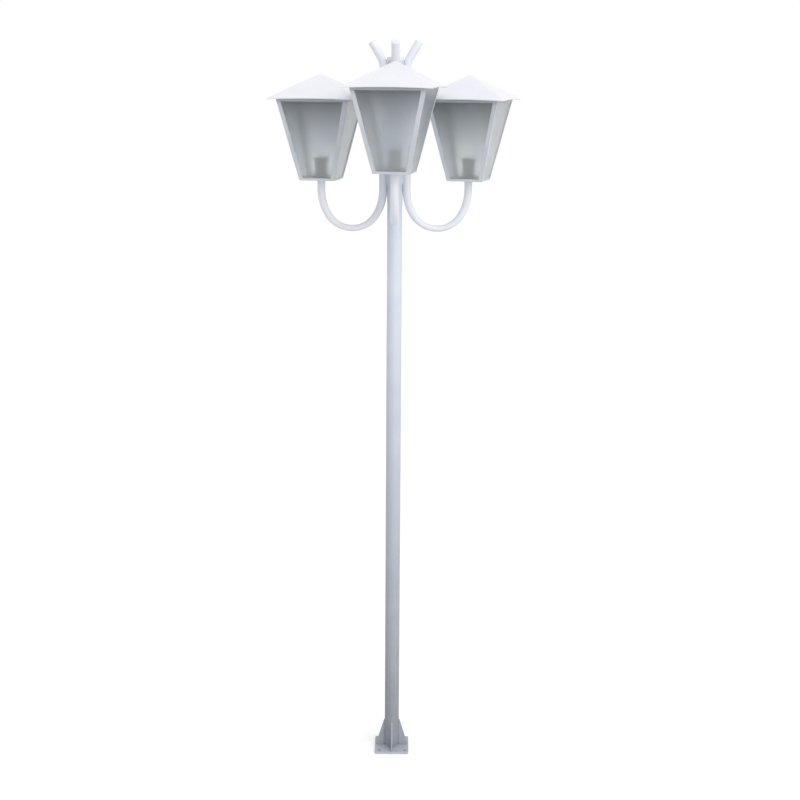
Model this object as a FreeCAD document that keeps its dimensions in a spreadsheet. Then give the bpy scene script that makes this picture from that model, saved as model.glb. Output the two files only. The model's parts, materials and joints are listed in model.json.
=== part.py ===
import FreeCAD, Part
import math
import os
import Sketcher
from FreeCAD import Placement, Rotation, Vector

# A garden lamp post of white painted steel: one round post on a square foot plate, three
# bent tube arms welded to its sides, and a square tapered lantern on the end of each arm.
# The origin is the centre of the foot plate's underside. +Z is up, -Y is the front, and
# the front arm points along -Y.

# ---------------------------------------------------------------- driving dimensions
# Millimetres and degrees. "side" words: the left and right arms hang at one height, the
# front arm higher.
DIMENSIONS = {
    "plate_width": 115.0,
    "plate_thickness": 8.0,
    "plate_corner": 5.0,
    "bolt_spacing": 86.0,
    "bolt_hole": 12.0,
    "cable_hole": 22.0,
    "gusset_height": 95.0,
    "gusset_reach": 30.0,
    "gusset_thickness": 5.0,
    "gusset_tip": 2.0,
    "post_outer": 48.3,
    "post_wall": 4.0,
    "post_top": 2314.0,
    "cap_outer": 52.0,
    "cap_wall": 2.0,
    "cap_skirt": 8.0,
    "cap_crown": 4.0,
    "cap_shoulder": 1.0,
    "weld_gap": 0.1,
    "arm_outer": 25.4,
    "arm_wall": 1.5,
    "arm_reach": 230.0,
    "arm_neck": 31.0,
    "bend_side": 150.0,
    "bend_bottom": 87.5,
    "prong_bend": 50.0,
    "prong_angle": 31.0,
    "prong_start": 2290.0,
    "prong_tip": 2361.0,
    "wire_hole": 9.0,
    "wire_height": 2110.0,
    "plug_head": 2.5,
    "plug_stem": 8.0,
    "bush_length": 15.0,
    "fit_gap": 0.1,
    "side_lantern": 1945.0,
    "front_lantern": 1983.0,
    "left_turn": -11.5,
    "front_turn": -11.0,
    "right_turn": -16.5,
    "body_bottom": 112.0,
    "body_top": 225.0,
    "body_height": 252.0,
    "sheet_steel": 1.0,
    "rim_height": 8.0,
    "ring_height": 12.0,
    "ring_flange": 12.0,
    "bar_width": 13.0,
    "glass": 2.0,
    "glass_gap": 0.2,
    "glass_side": 3.7,
    "glass_end": 0.5,
    "roof_width": 268.0,
    "roof_rise": 69.0,
    "roof_sheet": 1.0,
    "roof_apex": 2.0,
    "eave_lip": 3.0,
    "collar_width": 197.0,
    "collar_drop": 8.0,
    "collar_seat": 9.0,
    "seat_gap": 0.1,
    "nipple_outer": 10.0,
    "nipple_bore": 7.0,
    "nipple_above": 16.0,
    "tray_hole": 10.5,
    "nut_height": 4.0,
    "nut_across": 17.0,
    "holder_base": 49.0,
    "holder_waist": 39.0,
    "holder_collar": 45.0,
    "holder_height": 64.0,
    "holder_foot": 11.0,
    "holder_band": 11.0,
    "holder_slope": 2.0,
    "holder_round": 1.5,
    "holder_bore": 29.6,
    "holder_floor": 25.0,
    "sleeve_outer": 29.2,
    "sleeve_bore": 26.7,
    "sleeve_length": 28.0,
    "sleeve_start": 29.0,
    "contact_width": 8.0,
    "contact_height": 2.5,
    "cut_past": 1.0,
}

# Each lantern: the direction of its arm from the post, seen from above, and the names of
# the dimensions that hold its height and its turn on the end of the arm.
LANTERNS = {
    "left": {"heading": 180.0, "height": "side_lantern", "turn": "left_turn"},
    "front": {"heading": -90.0, "height": "front_lantern", "turn": "front_turn"},
    "right": {"heading": 0.0, "height": "side_lantern", "turn": "right_turn"},
}
# The four sides of a lantern or of the foot, as turns about the upright axis.
FACES = {"front": 0.0, "right": 90.0, "back": 180.0, "left": 270.0}
CORNERS = {"front_right": 0.0, "back_right": 90.0, "back_left": 180.0, "front_left": 270.0}

UP = Vector(0, 0, 1)
UPRIGHT_WEDGE = Rotation(Vector(1, 0, 0), 90)

doc = FreeCAD.newDocument("lamp_post")
sheet = doc.addObject("Spreadsheet::Sheet", "Sizes")
for row, (alias, value) in enumerate(DIMENSIONS.items(), start=1):
    sheet.set(f"A{row}", alias)
    sheet.set(f"B{row}", str(value))
    sheet.setAlias(f"B{row}", alias)
doc.recompute()

subparts = []


def size(alias):
    """The value of one driving dimension, read from the sheet."""
    return float(sheet.get(alias))


def cell(alias):
    """The same dimension as the text of an expression."""
    return f"Sizes.{alias}"


def worth(expression):
    """What an expression over the sheet comes to now."""
    return float(sheet.evalExpression(expression.replace("Sizes.", "")))


def bind(thing, **expressions):
    """Ties properties of a feature to expressions over the sheet."""
    for name, expression in expressions.items():
        thing.setExpression(name, expression)


def keep(thing, label, placement=None):
    """Names a finished sub-part, puts it in its place and lists it for export."""
    if placement is not None:
        thing.Placement = placement
    thing.Label = label
    subparts.append(thing)
    return thing


# ---------------------------------------------------------------- sketches and bodies
def new_body(name):
    return doc.addObject("PartDesign::Body", name)


def new_sketch(body, plane, name, lift=None):
    """A sketch on one of the body's own origin planes, lifted along its normal."""
    sketch = body.newObject("Sketcher::SketchObject", name)
    support = next(p for p in body.Origin.OriginFeatures if p.Role == plane)
    sketch.AttachmentSupport = [(support, "")]
    sketch.MapMode = "FlatFace"
    if lift is not None:
        sketch.setExpression(".AttachmentOffset.Base.z", lift)
    return sketch


def add_circle(sketch, diameter, x="0", y="0"):
    """A circle of a driven diameter whose centre stands at driven distances from the origin."""
    start = Vector(worth(x), worth(y), 0)
    radius = worth(diameter) / 2
    circle = sketch.addGeometry(Part.Circle(start, Vector(0, 0, 1), radius), False)
    index = sketch.addConstraint(Sketcher.Constraint("Diameter", circle, 2 * radius))
    sketch.setExpression(f"Constraints[{index}]", diameter)
    for kind, distance, place in (("DistanceX", x, start.x), ("DistanceY", y, start.y)):
        index = sketch.addConstraint(Sketcher.Constraint(kind, -1, 1, circle, 3, place))
        if distance != "0":
            sketch.setExpression(f"Constraints[{index}]", distance)


def add_outline(sketch, points):
    """A closed outline of straight runs through points given as pairs of expressions."""
    places = [Vector(worth(x), worth(y), 0) for x, y in points]
    count = len(places)
    for i in range(count):
        sketch.addGeometry(Part.LineSegment(places[i], places[(i + 1) % count]), False)
    for i in range(count):
        sketch.addConstraint(Sketcher.Constraint("Coincident", i, 2, (i + 1) % count, 1))
    for i, (x, y) in enumerate(points):
        for kind, distance, place in (("DistanceX", x, places[i].x), ("DistanceY", y, places[i].y)):
            index = sketch.addConstraint(Sketcher.Constraint(kind, -1, 1, i, 1, place))
            sketch.setExpression(f"Constraints[{index}]", distance)


def add_pad(body, sketch, length, midplane=False):
    pad = body.newObject("PartDesign::Pad", "Pad")
    pad.Profile = sketch
    pad.setExpression("Length", length)
    pad.Midplane = midplane
    return pad


def add_revolution(body, sketch):
    """Turns a sketch in the XZ plane a full turn about the upright axis."""
    turned = body.newObject("PartDesign::Revolution", "Revolution")
    turned.Profile = sketch
    turned.ReferenceAxis = (sketch, ["V_Axis"])
    turned.Angle = 360.0
    return turned


def turned_body(label, points, placement=Placement()):
    """A round piece: an outline of radius and height pairs, turned about the upright axis."""
    body = new_body(label)
    sketch = new_sketch(body, "XZ_Plane", "Outline")
    add_outline(sketch, points)
    add_revolution(body, sketch)
    return keep(body, label, placement)


# ---------------------------------------------------------------- foot and post
def make_base_plate():
    """The square foot plate: rounded corners, four bolt holes and a cable hole."""
    body = new_body("base_plate")
    half = f"{cell('plate_width')} / 2"
    outline = new_sketch(body, "XY_Plane", "Outline")
    add_outline(outline, [(f"-{half}", f"-{half}"), (half, f"-{half}"), (half, half),
                          (f"-{half}", half)])
    pad = add_pad(body, outline, cell("plate_thickness"))
    doc.recompute()
    fillet = body.newObject("PartDesign::Fillet", "CornerRounding")
    upright = [f"Edge{number}" for number, edge in enumerate(pad.Shape.Edges, start=1)
               if edge.BoundBox.ZLength > size("plate_thickness") / 2]
    fillet.Base = (pad, upright)
    fillet.setExpression("Radius", cell("plate_corner"))
    holes = new_sketch(body, "XY_Plane", "Holes")
    reach = f"{cell('bolt_spacing')} / 2"
    for x in (f"-{reach}", reach):
        for y in (f"-{reach}", reach):
            add_circle(holes, cell("bolt_hole"), x, y)
    add_circle(holes, cell("cable_hole"))
    pocket = body.newObject("PartDesign::Pocket", "HolesThrough")
    pocket.Profile = holes
    pocket.Type = "ThroughAll"
    pocket.Midplane = True
    keep(body, "base_plate")


def make_gussets():
    """Four upright triangular webs between the post and the middles of the plate's sides."""
    near = f"{cell('post_outer')} / 2 + {cell('weld_gap')}"
    far = f"{near} + {cell('gusset_reach')}"
    tip = cell("gusset_tip")
    for side, turn in FACES.items():
        body = new_body(f"gusset_{side}")
        web = new_sketch(body, "XZ_Plane", "Web")
        add_outline(web, [(near, "0"), (far, "0"), (far, tip),
                          (f"{near} + {tip}", cell("gusset_height")), (near, cell("gusset_height"))])
        add_pad(body, web, cell("gusset_thickness"), midplane=True)
        heading = Rotation(UP, turn - 90)
        keep(body, f"gusset_{side}", Placement(Vector(0, 0, size("plate_thickness")), heading))


def make_post_tube():
    """The round post, with a wire hole in its wall behind each arm."""
    body = new_body("post_tube")
    section = new_sketch(body, "XY_Plane", "Section", lift=cell("plate_thickness"))
    add_circle(section, cell("post_outer"))
    add_circle(section, f"{cell('post_outer')} - 2 * {cell('post_wall')}")
    add_pad(body, section, f"{cell('post_top')} - {cell('plate_thickness')}")
    for plane, both_sides in (("YZ_Plane", True), ("XZ_Plane", False)):
        hole = new_sketch(body, plane, "WireHole")
        add_circle(hole, cell("wire_hole"), "0", cell("wire_height"))
        pocket = body.newObject("PartDesign::Pocket", "WirePassage")
        pocket.Profile = hole
        pocket.Type = "Length"
        pocket.Midplane = both_sides
        pocket.Reversed = not both_sides
        pocket.setExpression("Length", f"2 * {cell('post_outer')}")
    keep(body, "post_tube")


def make_post_cap():
    """The pressed cap on the post's top: a short skirt and a shallow crown."""
    outer = f"{cell('cap_outer')} / 2"
    inner = f"{cell('post_outer')} / 2 + {cell('fit_gap')}"
    top = cell("post_top")
    crown = f"{top} + {cell('cap_crown')}"
    shoulder = f"{outer} - {cell('cap_crown')}"
    turned_body("post_cap", [
        (inner, f"{top} - {cell('cap_skirt')}"), (outer, f"{top} - {cell('cap_skirt')}"),
        (outer, f"{top} + {cell('cap_shoulder')}"), (shoulder, crown), ("0", crown),
        ("0", f"{crown} - {cell('cap_wall')}"),
        (f"{shoulder} - {cell('cap_wall')} / 2", f"{crown} - {cell('cap_wall')}"),
        (inner, f"{top} + {cell('fit_gap')}")])


# ---------------------------------------------------------------- arms
def arm_leg():
    """How far an arm's upright leg stands from the post's axis, as an expression."""
    return f"{cell('post_outer')} / 2 + {cell('arm_outer')} / 2 + {cell('weld_gap')}"


def bend_points(lantern_height):
    """The arm's centre line in its own upright plane, as pairs of radius and height.

    From the lantern end: a short neck, then a U made of a wide arc, a tighter bottom arc and
    a wide arc again, the leg along the post, and the prong that leans out over the post top.
    The bottom arc meets each wide arc where the line through both centres crosses them.
    """
    reach = size("arm_reach")
    leg = worth(arm_leg())
    top = lantern_height - size("arm_neck")
    middle = (reach + leg) / 2
    across = (reach - leg) / 2
    side, bottom = size("bend_side"), size("bend_bottom")
    drop = math.sqrt((side - bottom) ** 2 - (side - across) ** 2)
    slope = (side - across) / (side - bottom)
    rise = drop / (side - bottom)
    outer_join = Vector(middle + bottom * slope, top - drop - bottom * rise, 0)
    inner_join = Vector(middle - bottom * slope, outer_join.y, 0)
    lean = math.radians(size("prong_angle"))
    bend = size("prong_bend")
    start = size("prong_start")
    bend_end = Vector(leg + bend * (1 - math.cos(lean)), start + bend * math.sin(lean), 0)
    run = (size("prong_tip") - bend_end.y) / math.cos(lean)
    tip = bend_end + Vector(math.sin(lean), math.cos(lean), 0) * run
    return {
        "end": Vector(reach, lantern_height, 0), "neck": Vector(reach, top, 0),
        "outer_join": outer_join, "inner_join": inner_join, "leg_foot": Vector(leg, top, 0),
        "leg_head": Vector(leg, start, 0), "bend_end": bend_end, "tip": tip,
        "side_outer": Vector(reach - side, top, 0), "side_inner": Vector(leg + side, top, 0),
        "bottom": Vector(middle, top - drop, 0), "prong_centre": Vector(leg + bend, start, 0),
    }


def arc_between(centre, start, end):
    """The shorter arc about a centre, from one point to another."""
    radius = (start - centre).Length
    first = math.atan2(start.y - centre.y, start.x - centre.x)
    sweep = math.atan2(end.y - centre.y, end.x - centre.x) - first
    sweep = (sweep + math.pi) % (2 * math.pi) - math.pi
    middle = first + sweep / 2
    halfway = centre + Vector(math.cos(middle), math.sin(middle), 0) * radius
    return Part.Arc(start, halfway, end)


def draw_arm_path(sketch, height_cell):
    """The centre line as a sketch of lines and tangent arcs, driven by the sheet."""
    p = bend_points(size(height_cell))
    for piece in (
        Part.LineSegment(p["end"], p["neck"]),
        arc_between(p["side_outer"], p["neck"], p["outer_join"]),
        arc_between(p["bottom"], p["outer_join"], p["inner_join"]),
        arc_between(p["side_inner"], p["inner_join"], p["leg_foot"]),
        Part.LineSegment(p["leg_foot"], p["leg_head"]),
        arc_between(p["prong_centre"], p["leg_head"], p["bend_end"]),
        Part.LineSegment(p["bend_end"], p["tip"]),
    ):
        sketch.addGeometry(piece, False)


def arm_turn(side):
    """The turn that brings an arm drawn along +X to its own heading."""
    return Rotation(UP, LANTERNS[side]["heading"])


def arm_stopper_side():
    """The radius of a piece that fits inside an arm's bore, as an expression."""
    return f"{cell('arm_outer')} / 2 - {cell('arm_wall')} - {cell('fit_gap')}"


def make_arm_tube(side):
    """One bent tube arm, with a wire hole where its leg lies against the post."""
    lantern = LANTERNS[side]
    height = cell(lantern["height"])
    body = new_body(f"{side}_arm")
    path = new_sketch(body, "XZ_Plane", "CentreLine")
    draw_arm_path(path, lantern["height"])
    section = new_sketch(body, "XY_Plane", "Section", lift=height)
    add_circle(section, cell("arm_outer"), cell("arm_reach"))
    add_circle(section, f"{cell('arm_outer')} - 2 * {cell('arm_wall')}", cell("arm_reach"))
    pipe = body.newObject("PartDesign::AdditivePipe", "BentTube")
    pipe.Profile = section
    pipe.Spine = path
    hole = new_sketch(body, "YZ_Plane", "WireHole")
    add_circle(hole, cell("wire_hole"), "0", cell("wire_height"))
    pocket = body.newObject("PartDesign::Pocket", "WirePassage")
    pocket.Profile = hole
    pocket.Type = "Length"
    pocket.Reversed = True
    pocket.setExpression("Length", arm_leg())
    keep(body, f"{side}_arm", Placement(Vector(), arm_turn(side)))


def make_arm_plug(side):
    """The low domed plug that closes the arm's prong."""
    turn = arm_turn(side)
    tip = bend_points(size(LANTERNS[side]["height"]))["tip"]
    lean = Rotation(Vector(0, 1, 0), size("prong_angle"))
    outer, bore = f"{cell('arm_outer')} / 2", arm_stopper_side()
    stem, head = f"-{cell('plug_stem')}", cell("plug_head")
    turned_body(f"{side}_arm_plug", [
        ("0", stem), (bore, stem), (bore, "0"), (outer, "0"), (outer, f"{head} / 2"),
        (f"{outer} - {head}", head), ("0", head)],
        Placement(turn.multVec(Vector(tip.x, 0, tip.y)), turn.multiply(lean)))


def nipple_clearance():
    """The radius of a plain hole that the nipple passes through, as an expression."""
    return f"{cell('nipple_outer')} / 2 + {cell('fit_gap')}"


def make_arm_bush(side):
    """The threaded bush in the arm's lantern end, which takes the nipple."""
    hole, bore = nipple_clearance(), arm_stopper_side()
    low = f"-{cell('bush_length')}"
    end = Vector(size("arm_reach"), 0, size(LANTERNS[side]["height"]))
    turned_body(f"{side}_arm_bush", [(hole, low), (bore, low), (bore, "0"), (hole, "0")],
                Placement(arm_turn(side).multVec(end), arm_turn(side)))


# ---------------------------------------------------------------- lanterns
def lantern_place(side, rise=0.0, turn=0.0):
    """Where a piece of one lantern stands, lifted and turned about the lantern's own axis."""
    lantern = LANTERNS[side]
    out = arm_turn(side).multVec(Vector(size("arm_reach"), 0, 0))
    base = out + UP * (size(lantern["height"]) + rise)
    return Placement(base, Rotation(UP, size(lantern["turn"]) + turn))


def half_at(height, inset="0"):
    """Half the width of the tapered body at a height above its underside, less an inset."""
    taper = f"({cell('body_top')} - {cell('body_bottom')}) / (2 * {cell('body_height')})"
    return f"{cell('body_bottom')} / 2 + ({height}) * {taper} - ({inset})"


def wedge(name, low, high, bottom, top, side_bottom=None, side_top=None, place=None):
    """A block between two heights whose flat ends differ in size.

    bottom and top are half widths, or pairs that bound the block from front to back;
    side_bottom and side_top are half widths across, where they differ from those.
    """
    block = doc.addObject("Part::Wedge", name)
    near_far = [pair if isinstance(pair, tuple) else (f"-({pair})", pair) for pair in (bottom, top)]
    across_bottom = side_bottom or bottom
    across_top = side_top or top
    bind(block, Ymin=low, Ymax=high,
         Zmin=near_far[0][0], Zmax=near_far[0][1], Z2min=near_far[1][0], Z2max=near_far[1][1],
         Xmin=f"-({across_bottom})", Xmax=across_bottom,
         X2min=f"-({across_top})", X2max=across_top)
    block.Placement = place or Placement(Vector(), UPRIGHT_WEDGE)
    return block


def tapered(name, low, high, inset="0"):
    """The solid of the tapered body between two heights, with its sides set in."""
    return wedge(name, low, high, half_at(low, inset), half_at(high, inset))


def cut(base, tool, name):
    result = doc.addObject("Part::Cut", name)
    result.Base = base
    result.Tool = tool
    return result


def fuse(pieces, name):
    result = doc.addObject("Part::MultiFuse", name)
    result.Shapes = pieces
    return result


def cylinder(name, diameter, height, lift="0"):
    rod = doc.addObject("Part::Cylinder", name)
    bind(rod, Radius=f"({diameter}) / 2", Height=height)
    rod.setExpression(".Placement.Base.z", lift)
    return rod


def make_tray(side):
    """The bottom tray: a square floor with a low rim that follows the taper, and a hole."""
    name = f"{side}_bottom_tray"
    outside = tapered(name + "_outside", "0", cell("rim_height"))
    floor, rim = cell("sheet_steel"), cell("rim_height")
    inside = tapered(name + "_inside", floor, f"{rim} + {cell('cut_past')}", cell("sheet_steel"))
    dish = cut(outside, inside, name + "_dish")
    hole = cylinder(name + "_hole", cell("tray_hole"), cell("rim_height"), f"-{floor}")
    keep(cut(dish, hole, name), name, lantern_place(side))


def make_corner_bars(side):
    """Four angle bars up the corners, each with one flange in each of two faces."""
    low = cell("rim_height")
    high = f"{cell('body_height')} - {cell('ring_height')}"
    wide = half_at(low, f"-{cell('cut_past')}"), half_at(high, f"-{cell('cut_past')}")
    narrow = half_at(low, cell("bar_width")), half_at(high, cell("bar_width"))
    for corner, turn in CORNERS.items():
        name = f"{side}_bar_{corner}"
        outside = tapered(name + "_outside", low, high)
        inside = tapered(name + "_inside", low, high, cell("sheet_steel"))
        shell = cut(outside, inside, name + "_shell")
        across = wedge(name + "_across", low, high, *wide, *narrow)
        along = wedge(name + "_along", low, high, *narrow, *wide)
        bars = cut(cut(shell, across, name + "_sides"), along, name + "_all")
        quarter = doc.addObject("Part::Box", name + "_quarter")
        bind(quarter, Length=cell("body_top"), Width=cell("body_top"), Height=cell("body_height"))
        quarter.setExpression(".Placement.Base.y", f"-{cell('body_top')}")
        one = doc.addObject("Part::Common", name)
        one.Base = bars
        one.Tool = quarter
        keep(one, name, lantern_place(side, turn=turn))


def make_top_ring(side):
    """The square ring on top of the bars: a band flush with the faces and a flange inwards."""
    name = f"{side}_top_ring"
    low = f"{cell('body_height')} - {cell('ring_height')}"
    high = cell("body_height")
    under = f"{high} - {cell('sheet_steel')}"
    outside = tapered(name + "_outside", low, high)
    past = cell("cut_past")
    band_hole = tapered(name + "_band_hole", f"{low} - {past}", under, cell("sheet_steel"))
    opening = half_at(high, cell("ring_flange"))
    flange_hole = wedge(name + "_flange_hole", low, f"{high} + {past}", opening, opening)
    band = cut(outside, band_hole, name + "_band")
    keep(cut(band, flange_hole, name), name, lantern_place(side))


def make_panes(side):
    """Four tapered glass panes that stand in the tray, behind the bars and under the flange."""
    low = f"{cell('sheet_steel')} + {cell('glass_end')}"
    high = f"{cell('body_height')} - {cell('sheet_steel')} - {cell('glass_end')}"
    outer = f"{cell('sheet_steel')} + {cell('glass_gap')}"
    inner = f"{outer} + {cell('glass')}"
    for face, turn in FACES.items():
        name = f"{side}_pane_{face}"
        # the wedge's own depth axis points to the front once it stands upright
        pane = wedge(name, low, high, (half_at(low, inner), half_at(low, outer)),
                     (half_at(high, inner), half_at(high, outer)),
                     half_at(low, cell("glass_side")), half_at(high, cell("glass_side")))
        place = lantern_place(side, turn=turn)
        keep(pane, name, place.multiply(Placement(Vector(), UPRIGHT_WEDGE)))


def square_band(name, low, high, outer, inner):
    """A square frame between two heights, open through; outer and inner are half widths."""
    past = cell("cut_past")
    block = wedge(name + "_outside", low, high, outer, outer)
    opening = wedge(name + "_opening", f"{low} - {past}", f"{high} + {past}", inner, inner)
    return cut(block, opening, name)


def roof_shell(name):
    """The low pyramid of sheet, with a lip turned down round its eaves."""
    half, apex = f"{cell('roof_width')} / 2", cell("roof_apex")
    rise, thick = cell("roof_rise"), cell("roof_sheet")
    outside = wedge(name + "_outside", "0", rise, half, apex)
    hollow = wedge(name + "_hollow", f"-{thick}", f"{rise} - {thick}", half, apex)
    pyramid = cut(outside, hollow, name + "_pyramid")
    inner = f"{half} - {thick}"
    low = f"-{cell('eave_lip')}"
    lip_outside = wedge(name + "_lip_outside", low, f"{thick} / 2", half, inner)
    lip_inside = wedge(name + "_lip_inside", f"{low} - {cell('cut_past')}", thick, inner, inner)
    return [pyramid, cut(lip_outside, lip_inside, name + "_lip")]


def roof_collar(name):
    """The square collar that drops into the top ring, and the seat that rests on its flange."""
    half, collar = f"{cell('roof_width')} / 2", f"{cell('collar_width')} / 2"
    slope = f"{cell('roof_rise')} / ({half} - {cell('roof_apex')})"
    under_roof = f"({half} - {collar}) * {slope} - {cell('roof_sheet')} / 4"
    thick, seat = cell("sheet_steel"), cell("seat_gap")
    band = square_band(name + "_collar", f"-{cell('collar_drop')}", under_roof, collar,
                       f"{collar} - {thick}")
    ledge = square_band(name + "_seat", seat, f"{seat} + {thick}",
                        f"{collar} + {cell('collar_seat')}", f"{collar} - {thick} / 2")
    return [band, ledge]


def make_roof(side):
    """The lift-off roof, with its collar welded under it."""
    name = f"{side}_roof"
    roof = fuse(roof_shell(name) + roof_collar(name), name)
    keep(roof, name, lantern_place(side, rise=size("body_height")))


def holder_place(side):
    """Where a lampholder stands: on the lock nut, on the floor of its tray."""
    return lantern_place(side, rise=size("sheet_steel") + size("nut_height"))


def make_lampholder(side):
    """The porcelain lampholder: a wide foot, a waist, a rounded collar and a bore from above."""
    base, waist, collar = (f"{cell('holder_' + part)} / 2" for part in ("base", "waist", "collar"))
    hole, bore, floor = nipple_clearance(), f"{cell('holder_bore')} / 2", cell("holder_floor")
    foot, top, edge = cell("holder_foot"), cell("holder_height"), cell("holder_round")
    band, slope = f"{top} - {cell('holder_band')}", cell("holder_slope")
    turned_body(f"{side}_lampholder", [
        (hole, "0"), (base, "0"), (base, foot), (waist, f"{foot} + {slope}"),
        (waist, f"{band} - {slope}"), (collar, band), (collar, f"{top} - {edge}"),
        (f"{collar} - {edge}", top), (bore, top), (bore, floor), (hole, floor)],
        holder_place(side))


def make_holder_contacts(side):
    """The brass screw sleeve in the holder's bore, and the centre contact on its floor."""
    name = f"{side}_holder_contacts"
    start, length = cell("sleeve_start"), cell("sleeve_length")
    sleeve = cut(cylinder(name + "_sleeve_outside", cell("sleeve_outer"), length, start),
                 cylinder(name + "_sleeve_bore", cell("sleeve_bore"), length, start),
                 name + "_sleeve")
    centre = cylinder(name + "_centre", f"2 * ({nipple_clearance()}) + {cell('contact_width')}",
                      cell("contact_height"), cell("holder_floor"))
    both = doc.addObject("Part::Compound", name)
    both.Links = [sleeve, centre]
    keep(both, name, holder_place(side))


def make_nipple(side):
    """The hollow threaded rod that clamps arm, tray and lampholder together."""
    bore, rod = f"{cell('nipple_bore')} / 2", f"{cell('nipple_outer')} / 2"
    low, high = f"-{cell('bush_length')}", cell("nipple_above")
    turned_body(f"{side}_nipple", [(bore, low), (rod, low), (rod, high), (bore, high)],
                lantern_place(side))


def make_lock_nuts():
    """The hexagon nuts on the nipples, one on the floor of each tray."""
    nuts = []
    for side in LANTERNS:
        name = f"lock_nut_{side}"
        hexagon = doc.addObject("Part::Prism", name + "_hexagon")
        hexagon.Polygon = 6
        bind(hexagon, Circumradius=f"{cell('nut_across')} / sqrt(3)", Height=cell("nut_height"))
        hole = cylinder(name + "_hole", f"2 * ({nipple_clearance()})", cell("nut_height"))
        nut = cut(hexagon, hole, name)
        nut.Placement = lantern_place(side, rise=size("sheet_steel"))
        nuts.append(nut)
    group = doc.addObject("Part::Compound", "lock_nuts")
    group.Links = nuts
    keep(group, "lock_nuts")


def make_lantern(side):
    make_tray(side)
    make_corner_bars(side)
    make_top_ring(side)
    make_panes(side)
    make_roof(side)
    make_lampholder(side)
    make_holder_contacts(side)
    make_nipple(side)


# ---------------------------------------------------------------- build, test and write
def check_document():
    """Stops on any failed feature, and on a sub-part that is empty or not valid."""
    for thing in doc.Objects:
        if {"Invalid", "Error"} & set(thing.State):
            raise RuntimeError(f"{thing.Label} failed: {thing.State}")
    for part in subparts:
        if part.Shape.isNull() or not part.Shape.isValid() or not part.Shape.Solids:
            raise RuntimeError(f"{part.Label} has no valid solid")


def write_parts():
    os.makedirs("parts", exist_ok=True)
    for part in subparts:
        solids = len(part.Shape.Solids)
        print(f"{part.Label:28s} {solids} solid(s) {part.Shape.Volume / 1000:10.2f} cm3")
        part.Shape.exportStep(f"parts/{part.Label}.step")


make_base_plate()
make_gussets()
make_post_tube()
make_post_cap()
for side in LANTERNS:
    make_arm_tube(side)
    make_arm_plug(side)
    make_arm_bush(side)
    make_lantern(side)
make_lock_nuts()
doc.recompute()
check_document()
write_parts()
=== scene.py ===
import json
import math

import bmesh
import bpy
import numpy as np
from mathutils import Matrix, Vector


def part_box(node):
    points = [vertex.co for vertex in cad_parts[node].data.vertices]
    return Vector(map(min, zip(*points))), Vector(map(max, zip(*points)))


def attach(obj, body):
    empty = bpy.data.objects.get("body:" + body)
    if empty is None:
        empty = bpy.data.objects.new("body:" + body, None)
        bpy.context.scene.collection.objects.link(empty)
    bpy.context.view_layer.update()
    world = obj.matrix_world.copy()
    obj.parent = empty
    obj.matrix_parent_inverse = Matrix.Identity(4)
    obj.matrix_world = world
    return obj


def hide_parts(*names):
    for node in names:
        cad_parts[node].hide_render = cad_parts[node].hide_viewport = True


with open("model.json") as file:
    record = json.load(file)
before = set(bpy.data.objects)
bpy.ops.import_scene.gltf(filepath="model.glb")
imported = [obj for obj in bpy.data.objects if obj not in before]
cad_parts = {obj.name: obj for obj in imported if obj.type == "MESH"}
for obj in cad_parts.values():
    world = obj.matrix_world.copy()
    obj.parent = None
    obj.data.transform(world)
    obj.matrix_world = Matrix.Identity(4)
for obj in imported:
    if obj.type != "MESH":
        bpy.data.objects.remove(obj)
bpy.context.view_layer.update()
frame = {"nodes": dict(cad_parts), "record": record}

# A garden lamp post of white enamelled steel with three square lanterns. Every length here
# is in millimetres and every angle in degrees; meshes turn to metres as they are made.
# +Z is up, -Y is the front, where the front arm points, and +X is the right arm.
MM = 0.001

# ---------------------------------------------------------------- driving sizes
# Arms: a bent tube with a U under its lantern, and a plugged prong over the post's top.
ARM_WIDTH = 25.4
ARM_WALL = 1.5
ARM_NECK = 31.0
BEND_SIDE = 150.0
BEND_BOTTOM = 87.5
BEND_FLATTENING = 0.17
BEND_WIDENING = 0.6
PRONG_BEND = 50.0
PRONG_ANGLE = 31.0
PRONG_START = 2290.0
PRONG_TIP = 2361.0
PLUG_STEM = 8.0
PLUG_RIM = 1.0
PLUG_DOME = 1.5
PLUG_EASE = 0.4

# Post cap and foot. Gaps are between pieces that touch; an ease is how far an edge is broken.
FIT_GAP = 0.1
CAP_RADIUS = 26.0
CAP_SKIRT = 8.0
CAP_CROWN = 4.0
CAP_SHEET = 2.0
CAP_SHOULDER = 1.5
CAP_EASE = 3.4
PLATE_THICKNESS = 8.0
PLATE_EASE = 0.8
GUSSET_REACH = 30.0
GUSSET_HEIGHT = 95.0
GUSSET_THICKNESS = 5.0
GUSSET_EASE = 0.6

# Welds. A bead is partly sunk: its centre stands off post and plate by WELD_PROUD of
# WELD_RADIUS, and off a gusset's side by FILLET_PROUD of it. WELD_DRIFT_RATE is in radians for
# each millimetre, and the foot beads' start and stop are angles from one gusset to the next.
WELD_RADIUS = 2.6
WELD_RIPPLE = 2.6
WELD_SWELL = 0.10
WELD_DRIFT = 0.06
WELD_DRIFT_RATE = 0.9
WELD_PROUD = 0.4
STITCH_LENGTH = 34.0
FOOT_BEAD_START = 8.0
FOOT_BEAD_STOP = 82.0
FILLET_RADIUS = 2.0
FILLET_PROUD = 0.3
FILLET_START = 4.0
FILLET_TOP_STOP = 2.0
FILLET_BASE_STOP = 1.0

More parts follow.
